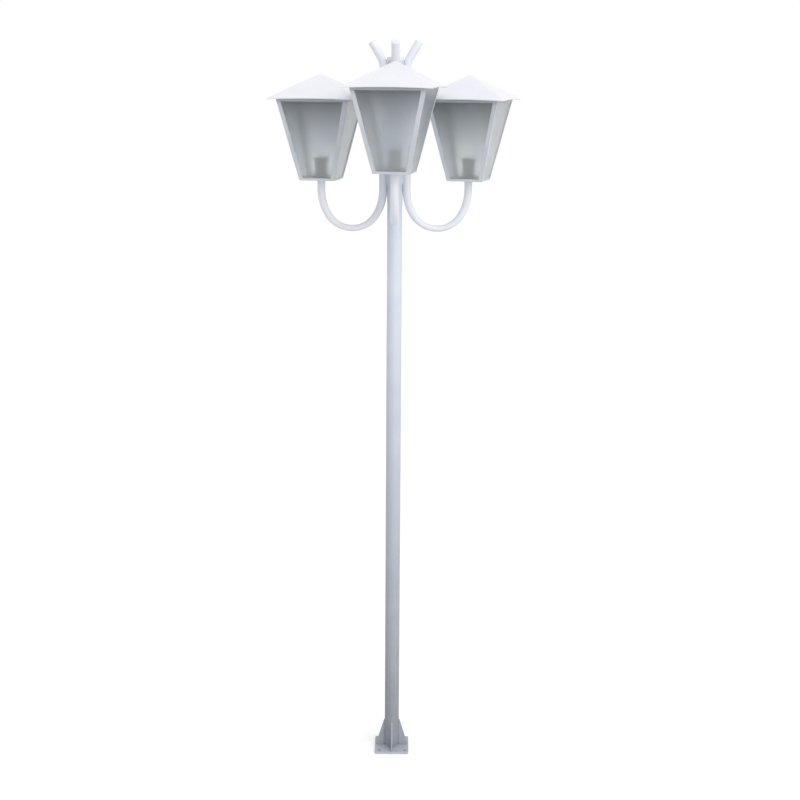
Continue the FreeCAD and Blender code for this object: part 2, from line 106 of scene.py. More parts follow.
# Lanterns: folded sheet frames with a low pyramid roof on a collar.
BODY_HEIGHT = 252.0
SHEET = 1.0
NUT_HEIGHT = 4.0
NUT_EASE = 0.4
FRAME_EASE = 0.3
ROOF_WIDTH = 268.0
ROOF_RISE = 69.0
ROOF_APEX = 2.0
ROOF_SHEET = 1.0
HIP_RADIUS = 2.2
EAVE_LIP = 3.0
EAVE_BOW = 3.0
EAVE_FOLD = 0.9
COLLAR_WIDTH = 197.0
COLLAR_DROP = 8.0
COLLAR_SEAT = 9.0
COLLAR_CORNER = 2.0
SEAT_GAP = 0.1

# Lampholder: radii and heights over its own seat, and the screw sleeve and contact inside it.
HOLDER_HOLE = 5.1
HOLDER_FOOT = 24.5
HOLDER_FOOT_HEIGHT = 10.5
HOLDER_WAIST = 19.0
HOLDER_TAPER = 0.5
HOLDER_WAIST_LOW = 13.5
HOLDER_WAIST_HIGH = 48.5
HOLDER_FLARE = 0.9
HOLDER_FLARE_DROP = 2.0
HOLDER_COLLAR = 22.5
HOLDER_COLLAR_LOW = 53.0
HOLDER_HEIGHT = 64.0
HOLDER_BORE = 14.8
HOLDER_FLOOR = 25.0
HOLDER_EASE = 2.2
SLEEVE_OUTSIDE = 14.05
SLEEVE_INSIDE = 13.85
SLEEVE_LOW = 29.0
SLEEVE_HIGH = 57.0
THREAD_PITCH = 3.62
THREAD_DEPTH = 0.5
CONTACT_RADIUS = 9.1
CONTACT_TIP = 4.0
CONTACT_RIM = 1.0
CONTACT_HEIGHT = 2.5
CONTACT_EASE = 0.8

# Meshes: points nearer than the merge distance become one, a CAD node's faces within
# FLAT_ANGLE of each other become one, and its edges sharper than EDGE_ANGLE are eased.
MERGE_DISTANCE = 0.004
CAD_MERGE_DISTANCE = 0.001
FLAT_ANGLE = 1.0
EDGE_ANGLE = 25.0

LANTERNS = {
    "left": {"heading": 180.0, "turn": -11.5},
    "front": {"heading": -90.0, "turn": -11.0},
    "right": {"heading": 0.0, "turn": -16.5},
}
CORNERS = ("front_right", "back_right", "back_left", "front_left")
FACES = {"front": -90.0, "right": 0.0, "back": 90.0, "left": 180.0}


def low_of(node):
    """The height of a CAD node's underside."""
    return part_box(node)[0].z / MM


def middle_of(node):
    """The middle of a CAD node's box."""
    low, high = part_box(node)
    return np.array((low + high) / 2) / MM


POST_RADIUS = (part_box("post_tube")[1].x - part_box("post_tube")[0].x) / 2 / MM
POST_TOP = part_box("post_tube")[1].z / MM
ARM_REACH = middle_of("right_bottom_tray")[0]
ARM_LEG = POST_RADIUS + ARM_WIDTH / 2 + FIT_GAP
HOLDER_SEAT = SHEET + NUT_HEIGHT
for lantern_side, lantern in LANTERNS.items():
    lantern["height"] = low_of(f"{lantern_side}_bottom_tray")


# ---------------------------------------------------------------- surfaces
def turned_about_z(points, degrees):
    """The points turned about the upright axis."""
    angle = math.radians(degrees)
    turn = np.array([[math.cos(angle), math.sin(angle), 0],
                     [-math.sin(angle), math.cos(angle), 0],
                     [0, 0, 1]])
    return points @ turn


def rounded(corners, radius, steps=5):
    """A closed outline with its corners eased: at each corner, a parabola from a point on the
    edge before it to a point on the edge after it, both as far from the corner as the radius
    or 0.45 of the shorter edge."""
    corners = np.asarray(corners, float)
    ahead = np.roll(corners, -1, axis=0) - corners
    length = np.linalg.norm(ahead, axis=1)
    behind = np.roll(ahead, 1, axis=0)
    reach = np.minimum(radius, 0.45 * np.minimum(length, np.roll(length, 1)))[:, None]
    start = corners - behind / np.roll(length, 1)[:, None] * reach
    end = corners + ahead / length[:, None] * reach
    t = np.linspace(0, 1, steps)[None, :, None]
    curve = ((1 - t) ** 2 * start[:, None] + 2 * t * (1 - t) * corners[:, None]
             + t**2 * end[:, None])
    return curve.reshape(-1, 2)


def lathe(profile, columns=64, ripple=None):
    """A profile of radius and height turned about the upright axis: x = r cos a, y = r sin a.
    ripple, if given, adds to the radius a function of the height and the angle."""
    angle = np.linspace(0, 2 * np.pi, columns, endpoint=False)[None, :]
    radius, height = profile[:, :1], np.repeat(profile[:, 1:], columns, axis=1)
    if ripple is not None:
        radius = radius + ripple(height, angle)
    return np.stack([radius * np.cos(angle), radius * np.sin(angle), height], axis=2)


def square_turned(profile, corner, bow=None, per_side=9, per_corner=6):
    """A profile of half width and height carried round a square whose corners are rounded.
    A point on a straight side lies at the half width from the axis and runs from corner to
    corner with t from -1 to 1; bow, if given, adds a rise as a function of half width and t."""
    along = np.linspace(-1, 1, per_side)
    swing = np.linspace(0, np.pi / 2, per_corner)[1:-1]
    half, height = profile[:, :1], profile[:, 1:]
    radius = np.minimum(corner, half)
    flat = half - radius
    sides = []
    for quarter in range(4):
        x = np.concatenate([half + 0 * along, flat + radius * np.cos(swing)], axis=1)
        y = np.concatenate([flat * along, flat + radius * np.sin(swing)], axis=1)
        t = np.concatenate([along, np.ones(len(swing))])
        z = height + (0 if bow is None else bow(half, t)) + 0 * x
        sides.append(turned_about_z(np.stack([x, y, z], axis=2), 90 * quarter))
    return np.concatenate(sides, axis=1)


def swept(centres, across, upward, outline):
    """An outline carried along a path: each point is the path's point, plus across times the
    outline's first number, plus upward times its second. The outline may differ at each point
    of the path."""
    return (centres[:, None] + across[:, None] * outline[..., :1]
            + upward[:, None] * outline[..., 1:])


def grid_faces(rows, columns, close_rows):
    """The four corners of every cell in a grid of points. Its columns join round, and its last
    row joins its first where asked."""
    i = np.arange(rows if close_rows else rows - 1)
    i, j = np.meshgrid(i, np.arange(columns), indexing="ij")
    after_i, after_j = (i + 1) % rows, (j + 1) % columns
    corners = [i * columns + j, after_i * columns + j, after_i * columns + after_j,
               i * columns + after_j]
    return np.stack(corners, axis=2).reshape(-1, 4)


def closed_mesh(name, surfaces):
    """A mesh of several surfaces, each a grid of points and whether its last row joins its
    first. Doubles are merged, which also closes the poles, and the faces are turned
    outwards."""
    points = np.concatenate([grid.reshape(-1, 3) for grid, _ in surfaces]) * MM
    faces, first = [], 0
    for grid, ring in surfaces:
        rows, columns = grid.shape[:2]
        faces.append(grid_faces(rows, columns, ring) + first)
        first += rows * columns
    faces = np.concatenate(faces)
    mesh = bpy.data.meshes.new(name)
    mesh.vertices.add(len(points))
    mesh.vertices.foreach_set("co", points.ravel())
    mesh.loops.add(faces.size)
    mesh.loops.foreach_set("vertex_index", faces.ravel())
    mesh.polygons.add(len(faces))
    mesh.polygons.foreach_set("loop_start", np.arange(0, faces.size, 4))
    mesh.update(calc_edges=True)
    tidy = bmesh.new()
    tidy.from_mesh(mesh)
    bmesh.ops.remove_doubles(tidy, verts=tidy.verts, dist=MERGE_DISTANCE * MM)
    bmesh.ops.recalc_face_normals(tidy, faces=tidy.faces)
    tidy.to_mesh(mesh)
    tidy.free()
    mesh.shade_smooth()
    return mesh


def put(mesh, body, slot, *nodes, finish=None):
    """Puts a finished mesh into the scene as a piece that rides on a body. Its finish is its
    slot's, unless another is given."""
    piece = bpy.data.objects.new(mesh.name, mesh)
    bpy.context.scene.collection.objects.link(piece)
    piece.data.materials.append(finish or FINISHES[slot])
    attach(piece, body)
    if nodes:
        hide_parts(*nodes)
    return piece


def even_normals(piece):
    """Keeps broad faces flat to the eye beside narrow eased edges."""
    piece.modifiers.new("even_normals", "WEIGHTED_NORMAL").keep_sharp = True


def softened(node, body, slot, width, finish=None):
    """A CAD node's own shape with its sharp edges eased by a narrow bevel."""
    mesh = frame["nodes"][node].data.copy()
    mesh.name = f"{node}_eased"
    tidy = bmesh.new()
    tidy.from_mesh(mesh)
    bmesh.ops.remove_doubles(tidy, verts=tidy.verts, dist=CAD_MERGE_DISTANCE * MM)
    bmesh.ops.dissolve_limit(tidy, angle_limit=math.radians(FLAT_ANGLE), verts=tidy.verts,
                             edges=tidy.edges)
    tidy.to_mesh(mesh)
    tidy.free()
    mesh.materials.clear()
    piece = put(mesh, body, slot, node, finish=finish)
    mesh.shade_smooth()
    bevel = piece.modifiers.new("eased_edges", "BEVEL")
    bevel.width = width * MM
    bevel.segments = 2
    bevel.limit_method = "ANGLE"
    bevel.angle_limit = math.radians(EDGE_ANGLE)
    bevel.use_clamp_overlap = True
    even_normals(piece)


# ---------------------------------------------------------------- finishes
# A grain is how wide a noise's blotches are, and a depth is that of a real relief.
# The enamel chalks to a dulled white in patches. A neutral grey is painted on as shade for the
# light falling off towards the ground: there is none over SHADE_TOP, and it thickens in streaks
# down to the ground. The same grey also lies as real dust in fine specks all over. Peel is the
# dimples of a spray coat. Painted shadow darkens the frames over the last EAVE_SHADE_DROP.
CHALK = "EAEDF4"
CHALK_GRAIN = 90.0
CHALK_SHARE = 0.5
DUST_AND_SHADE = "6E6D72"
SHADE_TOP = 1600.0
SHADE_STREAK_GRAIN = 40.0
DULLING = 0.3
SPECK_GRAIN = 6.0
SPECK_SHARE = 0.12
PEEL_GRAIN = 2.4
PEEL_DEPTH = 0.05
EAVE_SHADE_DROP = 20.0

# The glass is a faint blue white, with a grey painted shade from PANE_SHADE_START over the tray
# up to the roof.
# Real etching is far finer than ETCH_GRAIN, which is as coarse as it needs to be to show. Its
# roughness stays over 0.28, under which what is behind a pane breaks up into squiggles.
GLASS = "FCFEFF"
GLASS_CLOUD = "F2F9FE"
GLASS_GRAIN = 60.0
PANE_SHADE = "A0A5A7"
PANE_SHADE_START = 20.0
PANE_SHADE_CURVE = 1.5
FRONT_PANE_SHADE_CURVE = 3.0
SIDE_PANE_SHADE = 0.15
ETCH_GRAIN = 4.0
ETCH_DEPTH = 0.01
ETCH_SMOOTH = 0.285
ETCH_ROUGH = 0.33

# Porcelain: a body greyed as painted shade that varies a little, dark pinholes, and waves where
# the glaze ran.
PORCELAIN_GRAIN = 25.0
PINHOLE_GRAIN = 1.2
GLAZE_GRAIN = 12.0
GLAZE_WAVE = 9.0
GLAZE_DEPTH = 0.08

# Metals: blotches of tarnish or bloom, and the marks of the rolls and the lathe. Those marks
# are finer on the real pieces, and are drawn this coarse to show.
TARNISH_GRAIN = 7.0
ROLLED_GRAIN = 0.8
BLOOM_GRAIN = 5.0
TURNED_GRAIN = 3.0
TURNED_MARKS = 12.0
METAL_DEPTH = 0.02

MIX_A, MIX_B, MIX_RESULT = 6, 7, 2


def linear(colour):
    """A colour written as sRGB hex, turned to linear red, green, blue and alpha."""
    parts = [int(colour[i:i + 2], 16) / 255 for i in (0, 2, 4)]
    return [c / 12.92 if c <= 0.04045 else ((c + 0.055) / 1.055) ** 2.4 for c in parts] + [1.0]


def fill(tree, node, inputs):
    """Fills a node's sockets: each gets a value, or a link from another node's output."""
    for socket, given in inputs.items():
        if isinstance(given, bpy.types.NodeSocket):
            tree.links.new(given, node.inputs[socket])
        else:
            node.inputs[socket].default_value = given


def add_node(tree, kind, inputs, **settings):
    """Adds one node with its settings, values and links, and gives its outputs."""
    made = tree.nodes.new("ShaderNode" + kind)
    for name, value in settings.items():
        setattr(made, name, value)
    fill(tree, made, inputs)
    return made.outputs


def per_grain(grain):
    """The noise scale at which blotches are about as wide as the grain."""
    return 1 / (grain * MM)


def new_material(name):
    """An empty material with its shader, and the object's own coordinates to draw on."""
    material = bpy.data.materials.new(name)
    material.use_nodes = True
    tree = material.node_tree
    shader = next(n for n in tree.nodes if n.type == "BSDF_PRINCIPLED")
    return material, tree, shader, add_node(tree, "TexCoord", {})["Object"]


def on_front_lantern(tree, place):
    """1 for the points that are nearer to the front arm than to a side one: -y > |x|."""
    axes = add_node(tree, "SeparateXYZ", {0: place})
    aside = add_node(tree, "Math", {0: axes["X"]}, operation="ABSOLUTE")[0]
    total = add_node(tree, "Math", {0: aside, 1: axes["Y"]}, operation="ADD")[0]
    return add_node(tree, "Math", {0: total, 1: 0.0}, operation="LESS_THAN")[0]


def above_tray(tree, place):
    """The height over the tray of the lantern that a point belongs to, in metres."""
    low, high = LANTERNS["left"]["height"] * MM, LANTERNS["front"]["height"] * MM
    tray = add_node(tree, "MapRange", {"Value": on_front_lantern(tree, place),
                                       "To Min": low, "To Max": high})["Result"]
    height = add_node(tree, "SeparateXYZ", {0: place})["Z"]
    return add_node(tree, "Math", {0: height, 1: tray}, operation="SUBTRACT")[0]


def enamel(name, colour, gloss, ground_shade, eave_shade=0.0):
    """Sprayed alkyd enamel on steel: a bright cool white with the soft dimples of a spray
    coat, a little chalked in patches, with fine dust specks, and a grey painted shade that
    thickens to the ground for the light falling off there and dulls the gloss. Lantern frames
    also get a painted shadow right under the eaves."""
    material, tree, shader, place = new_material(name)
    patches = add_node(tree, "TexNoise", {"Vector": place, "Scale": per_grain(CHALK_GRAIN),
                                          "Detail": 3.0})["Fac"]
    chalk = add_node(tree, "MapRange", {"Value": patches, "From Min": 0.35, "From Max": 0.75,
                                        "To Max": CHALK_SHARE})["Result"]
    paint = add_node(tree, "Mix", {0: chalk, MIX_A: linear(colour), MIX_B: linear(CHALK)},
                     data_type="RGBA")[MIX_RESULT]

    fine = add_node(tree, "TexNoise", {"Vector": place, "Scale": per_grain(SPECK_GRAIN),
                                       "Detail": 4.0, "Roughness": 0.65})["Fac"]
    specks = add_node(tree, "MapRange", {"Value": fine, "From Min": 0.62, "From Max": 0.80,
                                         "To Max": SPECK_SHARE})["Result"]
    paint = add_node(tree, "Mix", {0: specks, MIX_A: paint, MIX_B: linear(DUST_AND_SHADE)},
                     data_type="RGBA")[MIX_RESULT]

    # Painted shade: the grey thickens in streaks towards the ground, for the light falling off
    # down the post.
    height = add_node(tree, "SeparateXYZ", {0: place})["Z"]
    low = add_node(tree, "MapRange", {"Value": height, "From Min": SHADE_TOP * MM,
                                      "From Max": 0.0})["Result"]
    cloudy = add_node(tree, "TexNoise", {"Vector": place, "Scale": per_grain(SHADE_STREAK_GRAIN),
                                         "Detail": 3.0})["Fac"]
    streaks = add_node(tree, "MapRange", {"Value": cloudy, "From Min": 0.2, "From Max": 0.8,
                                          "To Min": 0.85})["Result"]
    streaked_low = add_node(tree, "Math", {0: low, 1: streaks}, operation="MULTIPLY")[0]
    shaded = add_node(tree, "Math", {0: streaked_low, 1: ground_shade}, operation="MULTIPLY")[0]
    paint = add_node(tree, "Mix", {0: shaded, MIX_A: paint, MIX_B: linear(DUST_AND_SHADE)},
                     data_type="RGBA")[MIX_RESULT]
    # Painted shadow: the frames darken over the last stretch under the eaves.
    if eave_shade:
        eave_shadow = add_node(tree, "MapRange", {
            "Value": above_tray(tree, place), "From Min": (BODY_HEIGHT - EAVE_SHADE_DROP) * MM,
            "From Max": BODY_HEIGHT * MM, "To Max": eave_shade})["Result"]
        paint = add_node(tree, "Mix", {0: eave_shadow, MIX_A: paint, MIX_B: linear(DUST_AND_SHADE)},
                         data_type="RGBA")[MIX_RESULT]

    wear = add_node(tree, "Math", {0: shaded, 1: patches}, operation="ADD")[0]
    dulled = add_node(tree, "MapRange", {"Value": wear, "From Min": 0.3, "From Max": 1.3,
                                         "To Min": gloss, "To Max": gloss + DULLING})["Result"]
    peel = add_node(tree, "TexNoise", {"Vector": place, "Scale": per_grain(PEEL_GRAIN),
                                       "Detail": 1.0})["Fac"]
    dimples = add_node(tree, "Bump", {"Height": peel, "Strength": 1.0,
                                      "Distance": PEEL_DEPTH * MM})["Normal"]
    fill(tree, shader, {"Base Color": paint, "Roughness": dulled, "Normal": dimples,
                        "IOR": 1.5})
    return material


def satin_glass():
    """Sheet glass etched on its inner face: what is behind it shows softened. A grey painted
    shade darkens it towards the roof, for the roof's shade inside the lantern, and thins
    downwards. On the front lantern it thins sooner, and the panes that face sideways have less:
    painted light that lifts those panes."""
    material, tree, shader, place = new_material("satin_etched_glass")
    cloud = add_node(tree, "TexNoise", {"Vector": place, "Scale": per_grain(GLASS_GRAIN),
                                        "Detail": 3.0})["Fac"]
    tint = add_node(tree, "MapRange", {"Value": cloud, "From Min": 0.3,
                                       "From Max": 0.7})["Result"]
    clean = add_node(tree, "Mix", {0: tint, MIX_A: linear(GLASS), MIX_B: linear(GLASS_CLOUD)},
                     data_type="RGBA")[MIX_RESULT]

    # Painted shade: the panes grey towards the roof; thinner on the front lantern and on sideways
    # panes, which paints them lighter.
    rise = add_node(tree, "MapRange", {
        "Value": above_tray(tree, place), "From Min": PANE_SHADE_START * MM,
        "From Max": BODY_HEIGHT * MM})["Result"]
    curve = add_node(tree, "MapRange", {
        "Value": on_front_lantern(tree, place), "To Min": PANE_SHADE_CURVE,
        "To Max": FRONT_PANE_SHADE_CURVE})["Result"]
    pane_shade = add_node(tree, "Math", {0: rise, 1: curve}, operation="POWER")[0]
    normal = add_node(tree, "TexCoord", {})["Normal"]
    forward = add_node(tree, "SeparateXYZ", {0: normal})["Y"]
    level = add_node(tree, "Math", {0: forward}, operation="ABSOLUTE")[0]
    facing = add_node(tree, "MapRange", {"Value": level, "From Min": 0.4, "From Max": 0.8,
                                         "To Min": SIDE_PANE_SHADE})["Result"]
    pane_shade = add_node(tree, "Math", {0: pane_shade, 1: facing}, operation="MULTIPLY")[0]
    colour = add_node(tree, "Mix", {0: pane_shade, MIX_A: clean, MIX_B: linear(PANE_SHADE)},
                      data_type="RGBA")[MIX_RESULT]

    etched = add_node(tree, "MapRange", {"Value": cloud, "From Min": 0.2, "From Max": 0.8,
                                         "To Min": ETCH_SMOOTH, "To Max": ETCH_ROUGH})["Result"]
    grain = add_node(tree, "TexNoise", {"Vector": place, "Scale": per_grain(ETCH_GRAIN),
                                        "Detail": 2.0})["Fac"]
    relief = add_node(tree, "Bump", {"Height": grain, "Strength": 1.0,
                                     "Distance": ETCH_DEPTH * MM})["Normal"]
    fill(tree, shader, {"Base Color": colour, "Roughness": etched, "Normal": relief,
                        "Transmission Weight": 0.82, "IOR": 1.45})
    return material


def porcelain():
    """Glazed electrical porcelain: a white body painted grey as shade of the lantern's inside,
    under a clear wet-looking glaze, with pinholes and a faint waviness where the glaze ran."""
    material, tree, shader, place = new_material("glazed_porcelain")
    cloud = add_node(tree, "TexNoise", {"Vector": place, "Detail": 2.0,
                                        "Scale": per_grain(PORCELAIN_GRAIN)})["Fac"]
    shade = add_node(tree, "MapRange", {"Value": cloud, "From Min": 0.3,
                                        "From Max": 0.7})["Result"]
    # Painted shade: the white porcelain body is greyed for the shade inside the lantern.
    body = add_node(tree, "Mix", {0: shade, MIX_A: linear("A5A39A"), MIX_B: linear("8D8A81")},
                    data_type="RGBA")[MIX_RESULT]
    specks = add_node(tree, "TexNoise", {"Vector": place, "Scale": per_grain(PINHOLE_GRAIN),
                                         "Detail": 1.0})["Fac"]
    pinholes = add_node(tree, "MapRange", {"Value": specks, "From Min": 0.70,
                                           "From Max": 0.78, "To Max": 0.5})["Result"]
    body = add_node(tree, "Mix", {0: pinholes, MIX_A: body, MIX_B: linear("8E877A")},
                    data_type="RGBA")[MIX_RESULT]

    gloss = add_node(tree, "TexNoise", {"Vector": place, "Scale": per_grain(GLAZE_GRAIN),
                                        "Detail": 2.0})["Fac"]
    glazed = add_node(tree, "MapRange", {"Value": gloss, "From Min": 0.3, "From Max": 0.7,
                                         "To Min": 0.10, "To Max": 0.24})["Result"]
    run = add_node(tree, "TexNoise", {"Vector": place, "Scale": per_grain(GLAZE_WAVE),
                                      "Detail": 2.0})["Fac"]
    waves = add_node(tree, "Bump", {"Height": run, "Strength": 1.0,
                                    "Distance": GLAZE_DEPTH * MM})["Normal"]
    fill(tree, shader, {"Base Color": body, "Roughness": glazed, "Normal": waves})
    return material


def rolled_brass():
    """Thin rolled brass, dulled by heat and handling to a brown yellow in blotches."""
    material, tree, shader, place = new_material("rolled_brass")
    blotches = add_node(tree, "TexNoise", {"Vector": place, "Detail": 4.0,
                                           "Scale": per_grain(TARNISH_GRAIN)})["Fac"]
    tarnish = add_node(tree, "MapRange", {"Value": blotches, "From Min": 0.35,
                                          "From Max": 0.7})["Result"]
    colour = add_node(tree, "Mix", {0: tarnish, MIX_A: linear("D9B765"),
                                    MIX_B: linear("8A6B38")}, data_type="RGBA")[MIX_RESULT]
    dulled = add_node(tree, "MapRange", {"Value": tarnish, "To Min": 0.28,
                                         "To Max": 0.55})["Result"]
    marks = add_node(tree, "TexNoise", {"Vector": place, "Scale": per_grain(ROLLED_GRAIN),
                                        "Detail": 2.0})["Fac"]
    rolled = add_node(tree, "Bump", {"Height": marks, "Strength": 1.0,
                                     "Distance": METAL_DEPTH * MM})["Normal"]
    fill(tree, shader, {"Base Color": colour, "Roughness": dulled, "Normal": rolled,
                        "Metallic": 1.0})
    return material


def zinc_plate():
    """Bright zinc plating on turned steel: cool grey metal with a fine lathe grain, and a
    white bloom in patches that greys and roughens it."""
    material, tree, shader, place = new_material("zinc_plated_steel")
    blotches = add_node(tree, "TexNoise", {"Vector": place, "Scale": per_grain(BLOOM_GRAIN),
                                           "Detail": 3.0})["Fac"]
    bloom = add_node(tree, "MapRange", {"Value": blotches, "From Min": 0.45,
                                        "From Max": 0.75})["Result"]
    colour = add_node(tree, "Mix", {0: bloom, MIX_A: linear("B4B8BC"),
                                    MIX_B: linear("8F9498")}, data_type="RGBA")[MIX_RESULT]
    dulled = add_node(tree, "MapRange", {"Value": bloom, "To Min": 0.30,
                                         "To Max": 0.6})["Result"]
    turned = add_node(tree, "Mapping", {"Vector": place,
                                        "Scale": (1.0, 1.0, TURNED_MARKS)})["Vector"]
    marks = add_node(tree, "TexNoise", {"Vector": turned, "Scale": per_grain(TURNED_GRAIN),
                                        "Detail": 2.0})["Fac"]
    lathed = add_node(tree, "Bump", {"Height": marks, "Strength": 1.0,
                                     "Distance": METAL_DEPTH * MM})["Normal"]
    fill(tree, shader, {"Base Color": colour, "Roughness": dulled, "Normal": lathed,
                        "Metallic": 1.0})
    return material


# One white enamel, given a different white on each part as painted light and shade: lighter on
# the roofs and arms, darker on the post, foot and most of all the lantern frames under the roofs.
FINISHES = {
    "base_paint": enamel("white_enamel_on_plate", "D2DEF0", gloss=0.42, ground_shade=0.45),
    "post_paint": enamel("white_enamel_on_post", "D7E1EE", gloss=0.34, ground_shade=0.88),
    "cap_paint": enamel("white_enamel_on_cap", "EEF0FA", gloss=0.40, ground_shade=0.9),
    "arm_paint": enamel("white_enamel_on_arms", "F0F3FA", gloss=0.32, ground_shade=0.9),
    "lantern_paint": enamel("white_enamel_on_frames", "CBD0D8", gloss=0.36, ground_shade=0.9,
                            eave_shade=0.45),
    "roof_paint": enamel("white_enamel_on_roofs", "F7F7FE", gloss=0.36, ground_shade=0.9),
    "pane_glass": satin_glass(),
    "porcelain": porcelain(),
    "brass": rolled_brass(),
    "zinc": zinc_plate(),
}


def finish_cad_nodes():
    """Gives every CAD node the finish of its own material slot."""
    for part in frame["record"]["subparts"]:
        mesh = frame["nodes"][part["node"]].data
        mesh.materials.clear()
        mesh.materials.append(FINISHES[part["material_slot"]])


# ---------------------------------------------------------------- arms
def arc(centre, radius, first, last, steps):
    """Points of radius and height on a circle, from one angle to another in radians."""
    angle = np.linspace(first, last, steps)
    return np.stack([centre[0] + radius * np.cos(angle), centre[1] + radius * np.sin(angle)], 1)


def arm_line(lantern_height):
    """An arm's centre line in its own upright plane, as radius and height: the neck under the
    lantern, a U of three tangent arcs, the leg along the post, a short bend and the prong."""
    top = lantern_height - ARM_NECK
    middle, across = (ARM_REACH + ARM_LEG) / 2, (ARM_REACH - ARM_LEG) / 2
    gap = BEND_SIDE - BEND_BOTTOM
    drop = math.sqrt(gap**2 - (BEND_SIDE - across) ** 2)
    meet = math.atan2(drop, BEND_SIDE - across)
    lean = math.radians(PRONG_ANGLE)
    bend = arc((ARM_LEG + PRONG_BEND, PRONG_START), PRONG_BEND, np.pi, np.pi - lean, 12)
    length = (PRONG_TIP - bend[-1, 1]) / math.cos(lean)
    tip = bend[-1] + length * np.array([math.sin(lean), math.cos(lean)])
    stretches = [
        np.linspace((ARM_REACH, lantern_height), (ARM_REACH, top), 4),
        arc((ARM_REACH - BEND_SIDE, top), BEND_SIDE, 0, -meet, 26),
        arc((middle, top - drop), BEND_BOTTOM, -meet, meet - np.pi, 48),
        arc((ARM_LEG + BEND_SIDE, top), BEND_SIDE, meet - np.pi, -np.pi, 26),
        np.linspace((ARM_LEG, top), (ARM_LEG, PRONG_START), 24),
        bend,
        np.linspace(bend[-1], tip, 5),
    ]
    return np.concatenate([stretches[0]] + [stretch[1:] for stretch in stretches[1:]])


def make_arm(side):
    """The bent tube: an ellipse carried along the centre line, flattened in the bend's plane by
    the square of how level the tube runs, and wider across by part of that, as a tube bent
    without a mandrel is. The grid runs up the outside and back down the bore."""
    lantern = LANTERNS[side]
    line = arm_line(lantern["height"])
    along = np.gradient(line, axis=0)
    along /= np.linalg.norm(along, axis=1)[:, None]
    below = line[:, 1] < lantern["height"]
    flat = (BEND_FLATTENING * along[:, 0] ** 2 * below)[:, None, None]
    centres = np.stack([line[:, 0], 0 * line[:, 0], line[:, 1]], 1)
    upward = np.stack([-along[:, 1], 0 * along[:, 0], along[:, 0]], 1)
    across = np.tile((0.0, 1.0, 0.0), (len(line), 1))
    angle = np.linspace(0, 2 * np.pi, 40, endpoint=False)
    circle = np.stack([np.cos(angle), np.sin(angle)], 1)[None]
    squash = np.concatenate([1 + BEND_WIDENING * flat, 1 - flat], axis=2)
    outside = swept(centres, across, upward, circle * squash * ARM_WIDTH / 2)
    inside = swept(centres, across, upward, circle * (squash * ARM_WIDTH / 2 - ARM_WALL))
    shell = turned_about_z(np.concatenate([outside, inside[::-1]]), lantern["heading"])
    tube = closed_mesh(f"{side}_arm_tube", [(shell, True)])
    even_normals(put(tube, "post", "arm_paint", f"{side}_arm"))


def make_arm_plug(side):
    """The plug in the prong: a low dome, a quarter of an ellipse turned about the tube's axis,
    with an eased rim, on a stem inside the tube."""
    lantern = LANTERNS[side]
    outer, stem = ARM_WIDTH / 2, ARM_WIDTH / 2 - ARM_WALL - FIT_GAP
    swing = np.linspace(0.0, np.pi / 2, 8)
    dome = np.stack([outer * np.cos(swing), PLUG_RIM + PLUG_DOME * np.sin(swing)], 1)
    foot = [(0, -PLUG_STEM), (stem, -PLUG_STEM), (stem, 0), (outer - PLUG_EASE, 0),
            (outer, PLUG_EASE)]
    grid = lathe(np.concatenate([foot, dome]), 40)
    lean = math.radians(PRONG_ANGLE)
    tip = arm_line(lantern["height"])[-1]
    x = grid[..., 0] * math.cos(lean) + grid[..., 2] * math.sin(lean) + tip[0]
    z = grid[..., 2] * math.cos(lean) - grid[..., 0] * math.sin(lean) + tip[1]
    plug = turned_about_z(np.stack([x, grid[..., 1], z], axis=2), lantern["heading"])
    put(closed_mesh(f"{side}_arm_end", [(plug, False)]), "post", "arm_paint",
        f"{side}_arm_plug")


# ---------------------------------------------------------------- welds
def bead(path, radius, side):
    """A weld bead: a round section along a path. Its radius swells by a sine of WELD_SWELL once
    each WELD_RIPPLE, and by one of WELD_DRIFT on a longer beat. It is drawn in to nothing at
    both ends by the square root of one minus the eighth power of t, which runs from -1 to 1."""
    along = np.gradient(path, axis=0)
    along /= np.linalg.norm(along, axis=1)[:, None]
    across = np.cross(along, side)
    across /= np.linalg.norm(across, axis=1)[:, None]
    upward = np.cross(across, along)
    steps = np.linalg.norm(np.diff(path, axis=0), axis=1)
    travelled = np.concatenate([[0], np.cumsum(steps)])
    t = 2 * travelled / travelled[-1] - 1
    swell = np.sqrt(np.clip(1 - t**8, 0, 1))
    ripple = (1 + WELD_SWELL * np.sin(2 * np.pi * travelled / WELD_RIPPLE)
              + WELD_DRIFT * np.sin(travelled * WELD_DRIFT_RATE))
    angle = np.linspace(0, 2 * np.pi, 12, endpoint=False)
    circle = np.stack([np.cos(angle), np.sin(angle)], 1)[None]
    return swept(path, across, upward, circle * (radius * swell * ripple)[:, None, None])


def make_arm_welds(side):
    """Stitch welds in the two grooves between the arm's leg and the post, in three places. A
    bead's centre is where circles round the post and the leg, both wider by its stand-off,
    cross: the law of cosines gives its angle."""
    lantern = LANTERNS[side]
    proud = WELD_RADIUS * WELD_PROUD
    to_post, to_leg = POST_RADIUS + proud, ARM_WIDTH / 2 + proud
    lean = math.acos((to_post**2 + ARM_LEG**2 - to_leg**2) / (2 * to_post * ARM_LEG))
    low = lantern["height"] - ARM_NECK
    outward = np.array([1.0, 0.0, 0.0])
    beads = []
    for middle in (low + STITCH_LENGTH, (low + PRONG_START) / 2, PRONG_START - STITCH_LENGTH):
        z = np.linspace(middle - STITCH_LENGTH / 2, middle + STITCH_LENGTH / 2, 60)
        for way in (-lean, lean):
            x, y = to_post * math.cos(way), to_post * math.sin(way)
            grid = bead(np.stack([x + 0 * z, y + 0 * z, z], 1), WELD_RADIUS, outward)
            beads.append((turned_about_z(grid, lantern["heading"]), False))
    put(closed_mesh(f"{side}_arm_welds", beads), "post", "arm_paint")


